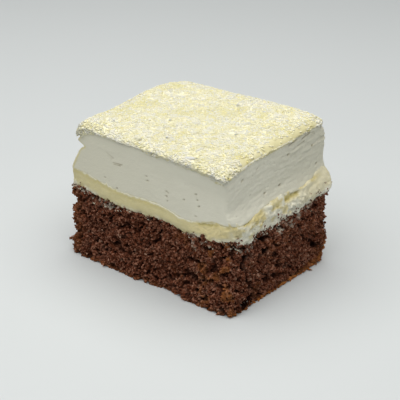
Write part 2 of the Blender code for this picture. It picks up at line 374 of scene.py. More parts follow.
def stretch(tree, value, low, high, most=1.0):
    """The value carried by a smooth step from low..high to 0..most."""
    return add_node(tree, "ShaderNodeMapRange", {"interpolation_type": "SMOOTHSTEP"},
                    {0: value, 1: low, 2: high, 3: 0.0, 4: most})[0]


def make_mottle_group():
    """Uneven food: a broad tone, a fine grain and a height, from noises on Object coordinates."""
    group = bpy.data.node_groups.new("food_mottle", "ShaderNodeTree")
    for name, value in (("Broad Scale", 250.0), ("Grain Scale", 2200.0), ("Roughness", 0.6)):
        socket = group.interface.new_socket(name, in_out="INPUT", socket_type="NodeSocketFloat")
        socket.default_value = value
    for name in ("Tone", "Grain", "Height"):
        group.interface.new_socket(name, in_out="OUTPUT", socket_type="NodeSocketFloat")
    entry = add_node(group, "NodeGroupInput", {}, {})
    spot = add_node(group, "ShaderNodeTexCoord", {}, {})["Object"]
    broad, grain = [
        add_node(group, "ShaderNodeTexNoise", {}, {"Vector": spot, "Scale": entry[scale], "Detail": detail,
                                                   "Roughness": entry["Roughness"]})["Fac"]
        for scale, detail in (("Broad Scale", 3.0), ("Grain Scale", 2.0))]
    height = reckon(group, "ADD", reckon(group, "MULTIPLY", broad, 0.5), grain)
    add_node(group, "NodeGroupOutput", {}, {"Tone": stretch(group, broad, 0.3, 0.7),
                                            "Grain": stretch(group, grain, 0.3, 0.7), "Height": height})
    return group


food_mottle = make_mottle_group()


def finish(name, roughness, shine, scales, relief, colour, coats, blue_reach=None):
    """New material: a ground colour under coats, with a fine relief if it has a height.

    scales are those of the mottle's broad tone and fine grain. Each coat is given as what it
    follows (the tone, the grain or a mark of the piece), its colour, the most that it covers and,
    if it sets in by a smooth step, from which level to which. blue_reach is given for flesh that
    light enters to come out a little further on, blue light nearest.
    """
    material = bpy.data.materials.new(name)
    material.use_nodes = True
    tree = material.node_tree
    shader = tree.nodes["Principled BSDF"]
    shader.inputs["Roughness"].default_value = roughness
    shader.inputs["Specular IOR Level"].default_value = shine
    mottle = add_node(tree, "ShaderNodeGroup", {"node_tree": food_mottle},
                      {"Broad Scale": scales[0], "Grain Scale": scales[1]})
    for source, coat, most, *levels in coats:
        if source in ("Tone", "Grain"):
            value = mottle[source]
        else:
            value = add_node(tree, "ShaderNodeAttribute", {"attribute_name": source}, {})["Fac"]
        share = stretch(tree, value, *levels, most) if levels else reckon(tree, "MULTIPLY", value, most)
        colour = add_node(tree, "ShaderNodeMix", {"data_type": "RGBA"}, {0: share, 6: colour, 7: coat})[2]
    tree.links.new(colour, shader.inputs["Base Color"])
    if relief:
        bump = add_node(tree, "ShaderNodeBump", {}, {"Distance": relief, "Height": mottle["Height"]})
        tree.links.new(bump["Normal"], shader.inputs["Normal"])
    if blue_reach:
        shader.inputs["Subsurface Weight"].default_value = 0.4
        shader.inputs["Subsurface Radius"].default_value = (1.0, 0.9, blue_reach)
        shader.inputs["Subsurface Scale"].default_value = 0.0004
    return material


def wall_grid(rows, floor, ceiling):
    """u, v and the share of the height for a wall of that many rows between two levels, and z."""
    u, v = once_round(COLUMNS)
    share = np.linspace(0.0, 1.0, rows)[:, None]
    u = np.broadcast_to(u, (rows, COLUMNS))
    v = np.broadcast_to(v, (rows, COLUMNS))
    x_flat = u * LENGTH / 2
    y_flat = v * WIDTH / 2
    z = mix(floor(x_flat, y_flat), ceiling(x_flat, y_flat), share)
    return u, v, share, z


def sponge_lump(u, v, share):
    """Broad unevenness of the sides: two crossed waves, none at the base and the top."""
    along = u * LENGTH / 2 - v * WIDTH / 2
    broad = np.sin(330.0 * along + 1.7 * np.sin(6.4 * share)) * np.sin(6.1 * share + 0.8)
    fine = np.sin(770.0 * along + 2.4 * np.sin(10.0 * share)) * np.sin(12.7 * share)
    return SPONGE_LUMP * (0.6 * broad + 0.4 * fine) * np.sin(np.pi * share)


# The shapes are worked out about the sponge's own middle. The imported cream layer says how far
# that lies from the origin.
round_u, round_v = once_round(COLUMNS)
cream_heights = np.linspace(0.030, 0.0485, 40)[:, None]
cream_outline = place(round_u, round_v, cream_heights, 0.0)[..., :2].reshape(-1, 2)
SLICE_MIDDLE = middle_of("cream_layer") - (cream_outline.min(axis=0) + cream_outline.max(axis=0)) / 2

# The crumb: clods of two sizes with torn hollows between them, then bubbles of three sizes opened
# twice, so that a bubble may open into the next one. Each kind of bubble has its spacing, smallest
# and largest radius, share and seed. The tears are the largest holes, each given as the two ends
# of a line, its reach and its depth.
CRUMB_TEARS = (
    (0.0352, -0.0190, 0.0195, 0.0352, -0.0210, 0.0160, 0.0007, 0.0024),
    (0.0352, -0.0206, 0.0160, 0.0352, -0.0185, 0.0095, 0.0005, 0.0014),
    (0.0350, -0.0196, 0.0023, 0.0350, -0.0168, 0.0031, 0.0012, 0.0020),
    (0.0352, -0.0016, 0.0042, 0.0352, -0.0006, 0.0044, 0.0007, 0.0020),
    (0.0352, -0.0108, 0.0213, 0.0352, -0.0092, 0.0215, 0.0008, 0.0022),
    (0.0352, -0.0027, 0.0224, 0.0352, -0.0012, 0.0226, 0.0008, 0.0022),
    (0.0352, 0.0125, 0.0258, 0.0352, 0.0165, 0.0268, 0.0009, 0.0024),
    (0.0338, -0.0256, 0.0232, 0.0344, -0.0256, 0.0228, 0.0007, 0.0020),
    (0.0210, -0.0253, 0.0238, 0.0211, -0.0253, 0.0226, 0.0007, 0.0036),
    (0.0350, -0.0138, 0.0242, 0.0350, -0.0120, 0.0232, 0.0006, 0.0024),
    (0.0350, 0.0072, 0.0258, 0.0350, 0.0098, 0.0266, 0.0007, 0.0026),
    (0.0350, -0.0060, 0.0240, 0.0350, -0.0045, 0.0238, 0.0006, 0.0022),
    (0.0350, 0.0160, 0.0210, 0.0350, 0.0172, 0.0206, 0.0007, 0.0022),
    (0.0350, -0.0105, 0.0166, 0.0350, -0.0090, 0.0162, 0.0007, 0.0022),
    (0.0341, -0.0258, 0.0150, 0.0348, -0.0250, 0.0150, 0.0007, 0.0022),
    (-0.0145, -0.0258, 0.0164, -0.0135, -0.0258, 0.0158, 0.0006, 0.0022),
    (-0.0048, -0.0258, 0.0197, -0.0035, -0.0258, 0.0182, 0.0006, 0.0024),
    (0.0062, -0.0258, 0.0202, 0.0084, -0.0258, 0.0196, 0.0005, 0.0022),
    (0.0152, -0.0258, 0.0152, 0.0168, -0.0258, 0.0142, 0.0006, 0.0022))
CRUMB_BUBBLES = ((0.0036, 0.0007, 0.0014, 0.35, 41), (0.0016, 0.00035, 0.00080, 0.90, 53),
                 (0.0010, 0.00022, 0.00045, 0.95, 67))
CRUMB_DEEPEST = 0.0026
FRONT_SMEARS = ((1.0, -0.0225, 0.008), (0.35, 0.0015, 0.006), (0.8, 0.027, 0.008))
RIGHT_SMEARS = ((0.9, -0.018, 0.006), (1.0, 0.001, 0.009), (0.7, 0.015, 0.006))
SMEAR_DRIP = (0.0189, -0.0252, 0.0238, 0.0193, -0.0252, 0.0190)
DARK_FOOT_LINE = (0.0350, -0.0198, 0.0018, 0.0350, -0.0163, 0.0034)

u, v, share, z = wall_grid(SPONGE_ROWS, base_level, sponge_level)
wall = place(u, v, z, sponge_lump(u, v, share))
normal = crumb_normal = outwards(wall)
shaken = shaken_points(wall, 0.0004, 0.0010, (31, 32, 33))
large_clods = clods(shaken, 0.0018, 11)
small_clods = clods(shaken, 0.0009, 17)
relief = 0.00055 * large_clods + 0.00050 * small_clods
relief = relief + 0.00035 * unevenness(wall, 0.0042, 23, finer=2) + 0.00022 * unevenness(wall, 0.0006, 29)
relief = relief - relief.mean() + 0.0004
crumb = wall + normal * relief[..., None]
opened = 0.0012 * ramp(unevenness(shaken, 0.0015, 37, finer=3), 0.12, 0.50)
for turn in range(2):
    spot = crumb - normal * opened[..., None] + 0.6 * (shaken - wall)
    depths = [bubble_depth(spot, normal, *bubbles) for bubbles in CRUMB_BUBBLES]
    opened = np.minimum(opened + np.max(depths, axis=0), CRUMB_DEEPEST)
ragged = shaken_points(wall, 0.0006, 0.0016, (71,), finer=2)
tears = [(depth, near_line(ragged, ends, reach)) for *ends, reach, depth in CRUMB_TEARS]
opened = opened + sum(depth * tear for depth, tear in tears)
torn_open = np.max([tear for depth, tear in tears], axis=0)
crumb = crumb - normal * opened[..., None]
crumb[..., 2] = np.maximum(crumb[..., 2], 0.0)
crumb[0, :, 2] = 0.0

# What colours the crumb: cream smeared on it below the filling, skin at its foot, a dark patch at
# the foot of the right end and the speckle of the crumb. Over these lie painted light and shade:
# orange highlights on the front near the right corner, a glow along the left end, shade in the
# holes, tears and cracks, and a lighter speckle on the right end and near the front right corner.
x, y = wall[..., 0], wall[..., 1]
edge_depth = sponge_level(x, y) - z
on_front = ramp(-normal[..., 1], 0.3, 0.8)
on_right = ramp(normal[..., 0], 0.3, 0.8)
smear_reach = 0.0028 * (on_front * swells(x, FRONT_SMEARS) + on_right * swells(y, RIGHT_SMEARS)) + 0.0003
patchy = unevenness(wall, 0.0014, 83, finer=3)
flecked = unevenness(wall, 0.0005, 85, finer=2)
smeared = ramp(smear_reach * (1.0 + 0.9 * patchy) - edge_depth, -0.0002, 0.0009)
smeared = smeared * ramp(relief - 0.6 * opened + 0.0004 * patchy, 0.0, 0.0004) * ramp(flecked, -0.45, 0.25)
drip = near_line(wall, SMEAR_DRIP, 0.00095)
smeared = np.maximum(smeared, 0.85 * ramp(drip + 0.25 * patchy, 0.35, 0.75))
skin_top = 0.0013 + 0.0014 * ramp(y, 0.002, 0.014) + 0.0058 * ramp(y, 0.0195, 0.0250)
skin_top = skin_top + 0.0007 * unevenness(wall, 0.003, 89, finer=2)
skin_with_highlight = ramp(skin_top - z, -0.0003, 0.0007)
skin_with_highlight = skin_with_highlight * (0.30 + 0.70 * on_right) * (0.75 + 0.25 * unevenness(wall, 0.0012, 92))
near_corner = np.maximum(on_right, on_front * ramp(x, 0.005, 0.030))
# Painted highlight and glow: orange-brown patches where the lit front nears the right corner, a few on the
# right end, and a glow along the left end. They share the skin's colour.
painted_highlight_and_glow = ramp(unevenness(wall, 0.0032, 93, finer=2), 0.20, 0.60)
painted_highlight_and_glow = painted_highlight_and_glow * np.maximum(0.12 * on_right, 0.50 * on_front * ramp(x, 0.005, 0.030))
painted_left_glow = ramp(x, -0.0290, -0.0345) * (0.22 + 0.10 * unevenness(wall, 0.0012, 94))
painted_highlight_and_glow = np.maximum(painted_highlight_and_glow, painted_left_glow)
dark_foot_patch = ramp(near_line(wall, DARK_FOOT_LINE, 0.0014), 0.25, 0.60)
skin_with_highlight = np.clip(np.maximum(skin_with_highlight, painted_highlight_and_glow), 0.0, 1.0) * (1.0 - dark_foot_patch)
# Painted shade: holes and tears are coloured darker the deeper they go, and so are the cracks between clods;
# the dark patch at the foot is added in.
gap_shade = ramp(np.minimum(large_clods, small_clods), 0.12, 0.0)
hole_shade_and_dark_patch = np.clip(np.maximum(opened / 0.0014 + 0.5 * torn_open + 1.5 * dark_foot_patch, 0.55 * gap_shade), 0.0, 1.0)
# Painted light: the speckle is lifted lighter, with more contrast, on the right end and on the front near
# the right corner.
speckle_and_painted_light = 0.45 + 0.12 * near_corner + (0.55 + 0.20 * near_corner) * unevenness(wall, 0.0008, 91, finer=2)
speckle_and_painted_light = np.clip(speckle_and_painted_light, 0.0, 1.0)

# The base under the sponge is half as brown as the skin at its foot.
BASE_SKIN = 0.5
BASE_SHARES = (0.25, 0.6, 0.9, 0.985)
sponge_rows = closed(crumb, base_level, sponge_level, BASE_SHARES, BASE_SHARES[::-1])
spare_rows = (len(BASE_SHARES), len(BASE_SHARES))
skin_with_highlight_marks = np.pad(skin_with_highlight, (spare_rows, (0, 0)), constant_values=((BASE_SKIN, 0.0), (0.0, 0.0)))

sponge_brown = finish(
    "chocolate_crumb", roughness=0.85, shine=0.08, scales=(240.0, 1700.0), relief=0.00045,
    colour=(0.110, 0.0268, 0.0103), coats=(
        ("Tone", (0.212, 0.0635, 0.0285), 1.0),
        ("tint", (0.048, 0.0100, 0.0035), 0.70, 0.40, 0.0),
        ("tint", (0.400, 0.188, 0.118), 0.85, 0.50, 0.90),
        # The palest coat, on the few highest tints, is painted glints: greyish pink specks of light on the
        # crumb.
        ("tint", (0.52, 0.34, 0.24), 0.6, 0.95, 0.99),
        ("Grain", (0.380, 0.175, 0.110), 0.6, 0.55, 1.0),
        ("Grain", (0.032, 0.0065, 0.0020), 0.8, 0.38, 0.10),
        # Orange-brown: the baked skin at the foot, with painted highlight on the front and painted glow
        # along the left end.
        ("skin_and_painted_light", (0.46, 0.175, 0.046), 0.85),
        # Near black: painted shade in holes, tears and cracks, and the dark patch at the foot.
        ("hole_shade_and_dark_patch", (0.014, 0.0026, 0.0010), 0.95),
        # Pale cream: cream smeared on the crumb, and painted glints on a few of the dark crumbs at the foot.
        ("cream_smear_and_glint", (0.60, 0.55, 0.45), 0.80)))

add_layer("chocolate_sponge_crumb", sponge_rows,
          {"hole_shade_and_dark_patch": hole_shade_and_dark_patch, "tint": speckle_and_painted_light, "cream_smear_and_glint": smeared, "skin_and_painted_light": skin_with_highlight_marks},
          sponge_brown, "chocolate_sponge")

# ---------------------------------------------------------------------------------------------
# Custard. A band of set vanilla custard spread on the sponge. It was pressed out a little when
# the slice was cut: smooth on the front, torn in ridges and streaked with cream on the right.
CUSTARD_TOP = 0.0302
CUSTARD_FRONT_SWELLS = ((0.0017, -0.033, 0.011), (-0.0024, 0.0152, 0.0078), (0.0009, 0.0285, 0.0050))
CUSTARD_RIGHT_SWELLS = ((0.0012, -0.026, 0.005), (0.0025, -0.001, 0.012), (0.0034, 0.025, 0.013))
CUSTARD_BULGE = 0.0007
CUSTARD_ROWS = 30
CUSTARD_TEETH = ((0.0008, -0.0219, 0.0007), (0.0010, -0.0180, 0.0004), (0.0005, -0.0140, 0.0005),
                 (0.0015, 0.0292, 0.0006), (0.0014, 0.0342, 0.0006))
CUSTARD_DRIPS = ((0.0012, -0.0172, 0.0011), (0.0007, -0.0128, 0.0009), (0.0008, 0.0017, 0.0013),
                 (0.0006, 0.0112, 0.0009), (0.0007, 0.0190, 0.0012))
CUSTARD_RIDGES = (
    (0.0345, -0.0143, 0.0340, 0.0345, -0.0105, 0.0338, 0.0008, 0.0008),
    (0.0345, -0.0105, 0.0334, 0.0345, -0.0060, 0.0312, 0.0006, 0.0007),
    (0.0345, 0.0113, 0.0313, 0.0345, 0.0204, 0.0328, 0.0006, 0.0006),
    (0.0345, -0.0060, 0.0316, 0.0345, 0.0010, 0.0322, 0.0005, 0.0004))
CUSTARD_DENT = (0.0345, 0.0025, 0.0306, 0.0345, 0.0085, 0.0312)
CUSTARD_CLUMP = (0.0345, -0.0180, 0.0318, 0.0345, -0.0112, 0.0305)
CUSTARD_GROOVES = (
    (0.0345, 0.0175, 0.0325, 0.0345, 0.0232, 0.0331, 0.00070),
    (0.0215, -0.0258, 0.0288, 0.0300, -0.0258, 0.0308, 0.00050),
    (0.0292, -0.0258, 0.0308, 0.0292, -0.0258, 0.0322, 0.00045),
    (0.0300, -0.0258, 0.0308, 0.0338, -0.0250, 0.0312, 0.00055),
    (0.0338, -0.0250, 0.0312, 0.0345, -0.0178, 0.0302, 0.00060),
    (0.0345, -0.0180, 0.0302, 0.0345, -0.0165, 0.0325, 0.00050),
    (0.0345, -0.0118, 0.0275, 0.0345, -0.0096, 0.0290, 0.00045),
    (0.0345, -0.0047, 0.0303, 0.0345, -0.0010, 0.0304, 0.00060),
    (0.0345, 0.0108, 0.0321, 0.0345, 0.0136, 0.0325, 0.00045))


def custard_level(x, y):
    """Height of the custard's top."""
    return layer_top(x, y, CUSTARD_TOP, CUSTARD_FRONT_SWELLS, CUSTARD_RIGHT_SWELLS, 150.0)


def custard_bulge(u, v, share):
    """Soft filling pressed out between the layers, least at the left end."""
    left_end = 0.9 * ramp(-u, 0.7, 1.0)
    front = 0.5 * ramp(-v, 0.8, 1.0) * ramp(-u, -0.9, -0.7)
    return CUSTARD_BULGE * (1.0 - left_end - front) * np.sin(np.pi * share ** 0.75)


# The band hangs down over the sponge in drips and stands up into the cream in a few teeth. The
# right end and the front right corner are torn, in curds, ridges, grooves and one dent.
u, v, share, z = wall_grid(CUSTARD_ROWS, sponge_level, custard_level)
x_flat, y_flat = u * LENGTH / 2, v * WIDTH / 2
front_part = ramp(-v, 0.9, 1.0)
right_part = ramp(u, 0.9, 1.0) * (1.0 - 0.5 * front_part)
edge_walk = np.stack([x_flat, y_flat, 0.0 * x_flat], axis=-1)
ripple = unevenness(edge_walk, 0.0016, 101, finer=4)
hang = 0.0002 + 0.0003 * right_part + (0.0005 + 0.0003 * right_part) * ripple
hang = hang + swells(y_flat, CUSTARD_DRIPS) * right_part
hang = hang + 0.00025 * unevenness(edge_walk, 0.0007, 105) * front_part
teeth = swells(x_flat, CUSTARD_TEETH) * front_part
teeth = teeth + 0.0012 * bell(y_flat, -0.0225, 0.0006) * right_part
crest = (0.0002 + 0.0003 * right_part) * unevenness(edge_walk, 0.0018, 103, finer=3) + teeth
z = z - hang * (1.0 - share) ** 2 + crest * share ** 2
wall = custard_wall = place(u, v, z, custard_bulge(u, v, share))
normal = custard_normal = outwards(wall)
x, y = wall[..., 0], wall[..., 1]
banded = np.stack([x, y, 2.2 * (z - custard_level(x_flat, y_flat))], axis=-1)
ridges = unevenness(banded, 0.0024, 107, finer=4)
curds = clods(shaken_points(wall, 0.0006, 0.0012, (108,)), 0.0014, 109)
curds = curds + 0.6 * clods(shaken_points(wall, 0.0003, 0.0007, (106,)), 0.0008, 110)
near_corner = 0.6 * front_part * ramp(x_flat, 0.012, 0.026)
torn = np.maximum(right_part * (1.0 - 0.6 * ramp(y_flat, 0.008, 0.020)), near_corner)
relief = 0.00012 * unevenness(banded, 0.0036, 111, finer=3) + 0.00005 * unevenness(wall, 0.0009, 112)
relief = relief + 0.00016 * front_part * ramp(share, 0.45, 0.10) * unevenness(wall, 0.0008, 114, finer=3)
frothy = right_part * (1.0 - 0.7 * ramp(y_flat, 0.002, 0.012))
relief = relief + 0.00016 * frothy * unevenness(wall, 0.0007, 116, finer=3)
relief = relief + torn * (0.00030 * ridges + 0.00085 * ramp(share, 1.05, 0.6) * (curds - 0.40))
bent = shaken_points(wall, 0.0003, 0.0025, (113,))
for *ends, reach, height in CUSTARD_RIDGES:
    relief = relief + height * near_line(bent, ends, reach)
frayed = shaken_points(wall, 0.0004, 0.0013, (115,), finer=2)
dent = near_line(frayed, CUSTARD_DENT, 0.0011)
groove = np.max([near_line(frayed, ends, reach) for *ends, reach in CUSTARD_GROOVES], axis=0)
relief = relief - 0.0010 * dent - mix(0.0006, 0.0003, front_part) * groove
custard = wall + normal * relief[..., None]

# What colours the custard: cream streaked over it, along its edges and over the right end, and
# the richer yellow of its dent, its grooves and its thickest clump.
ragged = unevenness(wall, 0.0012, 127, finer=3)
lower = 0.8 * ramp(share + 0.08 * ragged, 0.38, 0.04)
lower = lower * ramp(unevenness(edge_walk, 0.005, 129, finer=2), -0.6, 0.5)
upper = ramp(share + 0.06 * ragged, 0.88, 1.0)
clump = near_line(frayed, CUSTARD_CLUMP, 0.0021)
yolky = ramp(unevenness(banded, 0.0028, 131, finer=3), 0.10, 0.40) * ramp(share, 0.2, 0.4)
yolky = yolky * (1.0 - 0.8 * ramp(y, 0.004, 0.014))
stained = np.clip(1.3 * (clump + 0.25 * ragged * clump) + 1.3 * dent + 1.3 * groove + 0.7 * yolky, 0.0, 1.0)
pale_right = right_part * (1.0 - stained) * (1.0 - 0.45 * ramp(y_flat, 0.003, 0.013))
paleness = np.clip(lower + upper * (1.0 - right_part) * (1.0 - groove) + pale_right, 0.0, 1.0)
richness = 0.35 * bell(share, 0.84, 0.12) * ramp(unevenness(edge_walk, 0.012, 133), -0.5, 0.5)
richness = richness * (1.0 - right_part)
richness = np.clip(richness + 0.9 * dent + 0.8 * groove + 0.25 * clump + 0.3 * right_part * yolky, 0.0, 1.0)

custard_yellow = finish(
    "set_custard", roughness=0.42, shine=0.45, scales=(320.0, 1500.0), relief=0.00012,
    colour=(0.660, 0.585, 0.295), coats=(
        ("Tone", (0.700, 0.622, 0.335), 1.0),
        ("fresh_cut", (0.795, 0.682, 0.350), 1.0),
        ("paleness", (0.845, 0.825, 0.675), 1.0),
        ("richness", (0.52, 0.43, 0.12), 0.9),
        ("Grain", (0.62, 0.56, 0.36), 0.15, 0.2, 0.8)))

add_layer("custard_band", closed(custard, sponge_level, custard_level),
          {"fresh_cut": ramp(x_flat, 0.012, 0.028), "paleness": paleness, "richness": richness},
          custard_yellow, "custard_layer")

# ---------------------------------------------------------------------------------------------
# Cream. A thick layer of set cream, cut clean: the knife left fine lines along the right end,
# a few scratches and opened bubbles on the front, and a yellow film down the left end.
CREAM_TOP = 0.0478
CREAM_RISE = 0.0015
CREAM_TILT = 0.0007
CORNER_DROP = 0.0014
CORNER_DROP_REACH = 0.006
CREAM_ROWS = 74
CREAM_BUBBLES = (0.0020, 0.00010, 0.00028, 0.35, 149)
PIT_DEEPEST = 0.0003
CREAM_SCRATCHES = (
    (-0.0180, -0.0258, 0.0420, -0.0150, -0.0258, 0.0409, 0.00022, 0.00040),
    (-0.0182, -0.0258, 0.0415, -0.0156, -0.0258, 0.0404, 0.00016, 0.00020),
    (-0.0151, -0.0258, 0.0394, -0.0109, -0.0258, 0.0397, 0.00015, 0.00016),
    (-0.0148, -0.0258, 0.0389, -0.0118, -0.0258, 0.0391, 0.00014, 0.00018),
    (0.0322, -0.0181, 0.0436, 0.0322, -0.0174, 0.0440, 0.00030, 0.00060),
    (0.0322, -0.0105, 0.0449, 0.0322, -0.0096, 0.0451, 0.00028, 0.00060),
    (0.0322, 0.0056, 0.0447, 0.0322, 0.0061, 0.0448, 0.00028, 0.00055),
    (0.0322, 0.0015, 0.0355, 0.0322, 0.0019, 0.0355, 0.00034, 0.00070),
    (0.0322, 0.0226, 0.0359, 0.0322, 0.0230, 0.0361, 0.00026, 0.00050),
    (0.0322, -0.0063, 0.0354, 0.0322, -0.0058, 0.0354, 0.00026, 0.00050),
    (0.0322, -0.0139, 0.0374, 0.0322, -0.0134, 0.0374, 0.00024, 0.00045),
    (0.0322, 0.0192, 0.0434, 0.0322, 0.0198, 0.0435, 0.00024, 0.00045),
    (0.0322, -0.0094, 0.0417, 0.0322, -0.0084, 0.0421, 0.00022, 0.00050),
    (0.0322, 0.0060, 0.0478, 0.0322, 0.0105, 0.0484, 0.00020, 0.00035),
    (0.0322, 0.0130, 0.0478, 0.0322, 0.0175, 0.0485, 0.00020, 0.00035),
    (0.0322, 0.0110, 0.0462, 0.0322, 0.0145, 0.0467, 0.00018, 0.00030))
CREAM_PITS = (
    (-0.0191, 0.0330), (-0.0137, 0.0307), (0.0076, 0.0356), (0.0082, 0.0353), (0.0075, 0.0339),
    (0.0080, 0.0325), (-0.0001, 0.0372), (-0.0006, 0.0386), (0.0201, 0.0385), (0.0213, 0.0346),
    (0.0199, 0.0308), (0.0150, 0.0351), (0.0206, 0.0366))


def cream_level(x, y):
    """Height of the cream's top: it climbs to the back right and drops at the front corners."""
    climb = 0.5 * ramp(y, -WIDTH / 2, -0.006) + 0.5 * ramp(y, -0.002, WIDTH / 2)
    tilt = x / (LENGTH / 2) * ramp(y, -0.015, 0.020)
    ends = np.abs(x / (LENGTH / 2)) ** np.where(x > 0.0, 8.0, 5.0)
    corners = ends * bell(y, -WIDTH / 2, CORNER_DROP_REACH)
    return CREAM_TOP + CREAM_RISE * climb + CREAM_TILT * tilt - CORNER_DROP * corners


def cream_floor(x, y):
    """Underside of the cream's wall, a little inside the custard's top."""
    return custard_level(x, y) - 0.0004


u, v, share, z = wall_grid(CREAM_ROWS, cream_floor, cream_level)
wall = place(u, v, z, 0.0)
normal = outwards(wall)
x, y = wall[..., 0], wall[..., 1]
on_right = ramp(normal[..., 0], 0.4, 0.9)
on_front = ramp(-normal[..., 1], 0.4, 0.9)
on_left = ramp(-normal[..., 0], 0.4, 0.9)
# Level knife lines, most of them on the right end, then small pits, scratches, larger opened
# bubbles on the front, and a little unevenness along the lower and upper edges.
lined = np.stack([0.12 * x, 0.12 * y, cream_level(u * LENGTH / 2, v * WIDTH / 2) - z], axis=-1)
lines = 0.5 * unevenness(lined, 0.0011, 131) + unevenness(lined * np.array([2.0, 2.0, 1.0]), 0.0006, 132)
top_right = ramp(y, -0.004, 0.022) * ramp(z, 0.036, 0.047)
relief = (0.00002 + on_right * (0.00010 + 0.00018 * top_right)) * lines
rough = unevenness(wall * np.array([1.0, 0.6, 1.0]), 0.0009, 139, finer=3)
relief = relief + 0.00008 * unevenness(wall, 0.0060, 137) + (0.00003 + 0.00008 * on_right) * rough
pits = bubble_depth(wall, normal, *CREAM_BUBBLES)
pits = np.minimum(pits, PIT_DEEPEST) * mix(ramp(unevenness(wall, 0.02, 151), 0.0, 0.3), 1.0, on_right)
relief = relief - pits
# Painted shade: bubble pits are coloured brown, darker the deeper they go. The scratches and the listed
# front pits below take the same brown.
marked = 0.6 * np.clip(pits / PIT_DEEPEST, 0.0, 1.0)
for *ends, reach, depth in CREAM_SCRATCHES:
    scratch = near_line(wall, ends, reach)
    relief = relief - depth * scratch
    marked = np.maximum(marked, scratch)
loose = shaken_points(wall, 0.00025, 0.0007, (143, 144, 145))
for x_pit, z_pit in CREAM_PITS:
    pit = bell(np.hypot(0.55 * (loose[..., 0] - x_pit), loose[..., 2] - z_pit), 0.0, 0.00022) * on_front
    relief = relief - 0.00045 * pit
    marked = np.maximum(marked, 0.8 * pit)
combed = unevenness(wall * np.array([1.0, 0.0, 0.15]), 0.0007, 141, finer=2)
relief = relief + 0.00003 * combed * on_front * ramp(x, 0.012, 0.028) - 0.0001 * ramp(share, 0.03, 0.0)
relief = relief + 0.00008 * ramp(share, 0.94, 1.0) * unevenness(wall, 0.0016, 157, finer=2)
cream = wall + normal * relief[..., None]

# Custard dragged over the cream: a film down the left end and round its front corner and a line of
# it along the seam. Then painted shade: the front darker towards the left and the right end darker
# towards the back.
film = on_left * (0.45 + 0.4 * ramp(unevenness(wall, 0.005, 163, finer=3), -0.2, 0.5))
film = film * ramp(-y, -0.012, 0.022)
edge_film = ramp(-u + 0.008 * unevenness(wall, 0.0020, 161, finer=2), 0.945, 0.978)
film = np.maximum(film, 0.85 * edge_film * ramp(-y, 0.018, 0.022)) * (0.55 + 0.45 * ramp(z, 0.046, 0.044))
seam = ramp(share + 0.012 * unevenness(wall, 0.0011, 165, finer=2), 0.045, 0.0)
film = np.maximum(film, seam * mix(0.85, 0.25, on_right))
# Painted shade: the front darker towards its left end, and the right end darker towards the back.
shade = np.maximum(on_front * ramp(x, 0.030, -0.030), on_right * ramp(y, -0.024, 0.022))

cream_white = finish(
    "set_cream", roughness=0.45, shine=0.40, scales=(140.0, 1900.0), relief=0.00012,
    colour=(0.785, 0.761, 0.625), coats=(
        ("Tone", (0.815, 0.791, 0.655), 1.0),
        # Painted shade on the front and the right end.
        ("painted_shade", (0.725, 0.700, 0.560), 1.0),
        ("custard_film", (0.70, 0.62, 0.31), 1.0),
        # Brown of the scratches and the front pits, and painted shade in the bubble pits.
        ("mark", (0.25, 0.185, 0.070), 0.85)))

add_layer("cream_block", closed(cream, cream_floor, cream_level),
          {"custard_film": film, "painted_shade": shade, "mark": marked},
          cream_white, "cream_layer")

# ---------------------------------------------------------------------------------------------
# Coconut topping. A thin film of custard over the cream, heaped with fine desiccated coconut.
# The bed is the film with its finest grains; the shreds and grains lying on it are separate.
TOPPING_RIM = 0.0007
TOPPING_HEAP = 0.0010
TOPPING_BACK_HEAP = 0.0005
TOPPING_CORNER_HEAP = 0.0020
TOPPING_WORN_CORNER = 0.0009
TOPPING_MOUND = 0.00022
TOPPING_LIP = 0.00022
TOPPING_LEFT_HEAP = 0.0011
RIM_REACH = 0.0018
RIM_DROP = 0.00055
CORNER_REACH = 0.0045
CORNER_FALL = 0.0018
STRIP_REACH = 0.0036
STRIP_DROP = 0.0011
BED_DEPTH = 0.00015
BED_ROWS = 12
BED_RINGS = 76
RIM_DROOPS = ((0.0014, 0.0320, -0.0255, 0.0040), (0.0009, 0.0190, -0.0255, 0.0040),
              (0.0008, -0.0330, -0.0250, 0.0030), (0.0006, 0.0030, -0.0250, 0.0035))
CUSTARD_PATCHES = (
    (-0.027, 0.019, 0.0055), (-0.010, 0.003, 0.006), (0.003, 0.011, 0.006), (-0.022, -0.008, 0.0055),
    (-0.027, -0.002, 0.004), (0.016, 0.018, 0.005), (0.025, 0.008, 0.005), (0.004, -0.012, 0.004),
    (0.027, -0.014, 0.004))


def topping_level(x, y):
    """Height of the heaped topping: thin at its rim and at the back right corner, fuller along
    the back and the left end, fullest at the front left corner, with small uneven mounds."""
    rim = np.maximum(np.abs(x) / (LENGTH / 2), np.abs(y) / (WIDTH / 2))
    mounds = np.sin(640.0 * x + 2.0 * np.sin(300.0 * y)) * np.sin(590.0 * y + 1.1)
    heap = TOPPING_HEAP * (1.0 - rim ** 12) + TOPPING_MOUND * mounds * (1.0 - 0.6 * rim)
    back = TOPPING_BACK_HEAP * (ramp(y, 0.0, 0.020) - 0.8 * ramp(x, -0.018, -0.031) * ramp(y, 0.012, 0.024))
    left = TOPPING_LEFT_HEAP * ramp(x, -0.020, -0.033) * bell(y, 0.006, 0.013)
    corner = TOPPING_CORNER_HEAP * ramp(x, -0.022, -0.034) * ramp(y, -0.010, -0.024)
    worn = TOPPING_WORN_CORNER * ramp(x, 0.024, 0.034) * ramp(y, 0.014, 0.025)
    return cream_level(x, y) + TOPPING_RIM + heap + back + left + corner - worn


